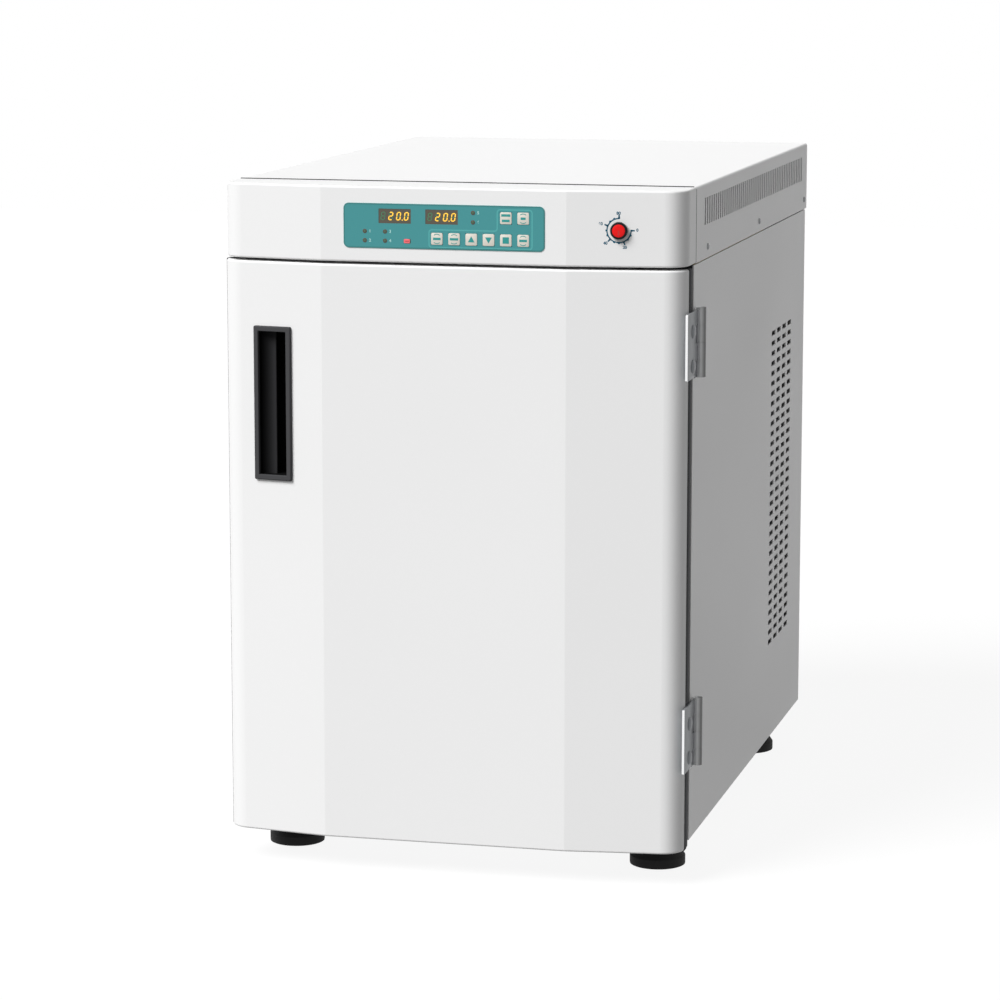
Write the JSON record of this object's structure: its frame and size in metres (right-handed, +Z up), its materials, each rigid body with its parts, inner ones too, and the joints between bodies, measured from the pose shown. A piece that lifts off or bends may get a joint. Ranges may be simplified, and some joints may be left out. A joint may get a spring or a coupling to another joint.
{
  "type": "cooled incubator",
  "caption": "Bench-top cooled incubator with a hinged insulated door, keypad control housing, wire shelves and rear cooling compartment.",
  "frame": {"origin": "on the floor under the middle of the cabinet", "axes": "+X to the viewer's right, +Y to the back, +Z up; the door faces -Y"},
  "size_m": [0.4103, 0.6322, 0.5915],
  "materials": {
    "white_steel": "smooth satin white powder coat",
    "door_white": "smooth satin white powder coat",
    "grey_steel": "plain galvanised and painted sheet",
    "stainless": "fine brushed stainless sheet",
    "bright_steel": "polished stainless hinge",
    "foot_rubber": "matt black moulded rubber",
    "seal_rubber": "soft dark grey magnetic seal",
    "frame_plastic": "dark grey moulded frame",
    "foam": "foamed-in insulation",
    "grip_plastic": "dark grey moulded grip",
    "keypad_film": "teal printed film",
    "window_film": "dark amber display window",
    "key_film": "light beige-grey key",
    "lamp_clear": "tinted lamp lens",
    "knob_black": "black moulded knob",
    "knob_red": "red inlaid cap",
    "black_plastic": "black moulded plastic",
    "circuit": "green circuit board",
    "fin_aluminium": "mill finish fins",
    "pipe_copper": "bright drawn copper pipe",
    "pot_black": "black enamelled steel shell",
    "motor_steel": "zinc-plated motor can"
  },
  "bodies": {
    "cabinet": {"top_cover": "white_steel", "left_side_panel": "white_steel", "right_side_panel": "white_steel", "back_panel": "white_steel", "base_pan": "grey_steel", "top_deck": "grey_steel", "foot_front_left": "foot_rubber", "foot_front_right": "foot_rubber", "foot_rear_left": "foot_rubber", "foot_rear_right": "foot_rubber", "front_frame": "frame_plastic", "inner_chamber": "stainless", "cabinet_insulation": "foam", "duct_cover": "stainless", "circulation_motor": "motor_steel", "heater": "stainless", "evaporator": "fin_aluminium", "temperature_sensor": "stainless", "shelf_rack_left": "stainless", "shelf_rack_right": "stainless", "shelf_lower": "stainless", "shelf_upper": "stainless", "compressor": "pot_black", "condenser": "fin_aluminium", "condenser_shroud": "grey_steel", "suction_line": "pipe_copper", "discharge_line": "pipe_copper", "control_housing": "white_steel", "keypad_overlay": "keypad_film", "display_left": "window_film", "display_right": "window_film", "light_guide": "lamp_clear", "display_board": "circuit", "limit_thermostat": "black_plastic", "main_board": "circuit", "power_supply": "grey_steel", "power_inlet": "black_plastic", "hinge_upper_frame_leaf": "bright_steel", "hinge_lower_frame_leaf": "bright_steel"},
    "door": {"door_shell": "door_white", "door_insulation": "foam", "door_liner": "frame_plastic", "door_gasket": "seal_rubber", "handle_grip": "grip_plastic", "hinge_upper_door_leaf": "bright_steel", "hinge_lower_door_leaf": "bright_steel"},
    "limit_knob": {"limit_knob": "knob_black", "limit_knob_cap": "knob_red"},
    "circulation_fan": {"circulation_fan": "black_plastic"},
    "condenser_fan": {"condenser_fan": "black_plastic"},
    "power_switch": {"power_switch": "black_plastic"},
    "key_1": {"key_1": "key_film"},
    "key_2": {"key_2": "key_film"},
    "key_3": {"key_3": "key_film"},
    "key_4": {"key_4": "key_film"},
    "key_5": {"key_5": "key_film"},
    "key_6": {"key_6": "key_film"},
    "key_7": {"key_7": "key_film"},
    "key_8": {"key_8": "key_film"}
  },
  "joints": [
    {"name": "door_hinge", "type": "hinge", "parent": "cabinet", "child": "door", "pos_m": [0.204, -0.2552, 0.29575], "axis": [0, 0, 1], "range_deg": [0, 180]},
    {"name": "limit_turn", "type": "hinge", "parent": "cabinet", "child": "limit_knob", "pos_m": [0.1449, -0.30994, 0.5586], "axis": [0.1271, -0.9919, 0], "range_deg": [-180, 90]},
    {"name": "mains_rocker", "type": "hinge", "parent": "cabinet", "child": "power_switch", "pos_m": [-0.14, 0.3105, 0.49], "axis": [1, 0, 0], "range_deg": [-16, 0]},
    {"name": "circulation_spin", "type": "hinge", "parent": "cabinet", "child": "circulation_fan", "pos_m": [0, -0.01, 0.331], "axis": [0, 1, 0], "continuous": true},
    {"name": "condenser_spin", "type": "hinge", "parent": "cabinet", "child": "condenser_fan", "pos_m": [0.119, 0.1816, 0.2755], "axis": [1, 0, 0], "continuous": true},
    {"name": "key_1_press", "type": "slide", "parent": "cabinet", "child": "key_1", "axis": [0, 1, 0], "range_m": [0, 0.0004], "stiffness_N_per_m": 500},
    {"name": "key_2_press", "type": "slide", "parent": "cabinet", "child": "key_2", "axis": [0, 1, 0], "range_m": [0, 0.0004], "stiffness_N_per_m": 500},
    {"name": "key_3_press", "type": "slide", "parent": "cabinet", "child": "key_3", "axis": [0, 1, 0], "range_m": [0, 0.0004], "stiffness_N_per_m": 500},
    {"name": "key_4_press", "type": "slide", "parent": "cabinet", "child": "key_4", "axis": [0, 1, 0], "range_m": [0, 0.0004], "stiffness_N_per_m": 500},
    {"name": "key_5_press", "type": "slide", "parent": "cabinet", "child": "key_5", "axis": [0, 1, 0], "range_m": [0, 0.0004], "stiffness_N_per_m": 500},
    {"name": "key_6_press", "type": "slide", "parent": "cabinet", "child": "key_6", "axis": [0, 1, 0], "range_m": [0, 0.0004], "stiffness_N_per_m": 500},
    {"name": "key_7_press", "type": "slide", "parent": "cabinet", "child": "key_7", "axis": [0, 1, 0], "range_m": [0, 0.0004], "stiffness_N_per_m": 500},
    {"name": "key_8_press", "type": "slide", "parent": "cabinet", "child": "key_8", "axis": [0, 1, 0], "range_m": [0, 0.0004], "stiffness_N_per_m": 500}
  ]
}
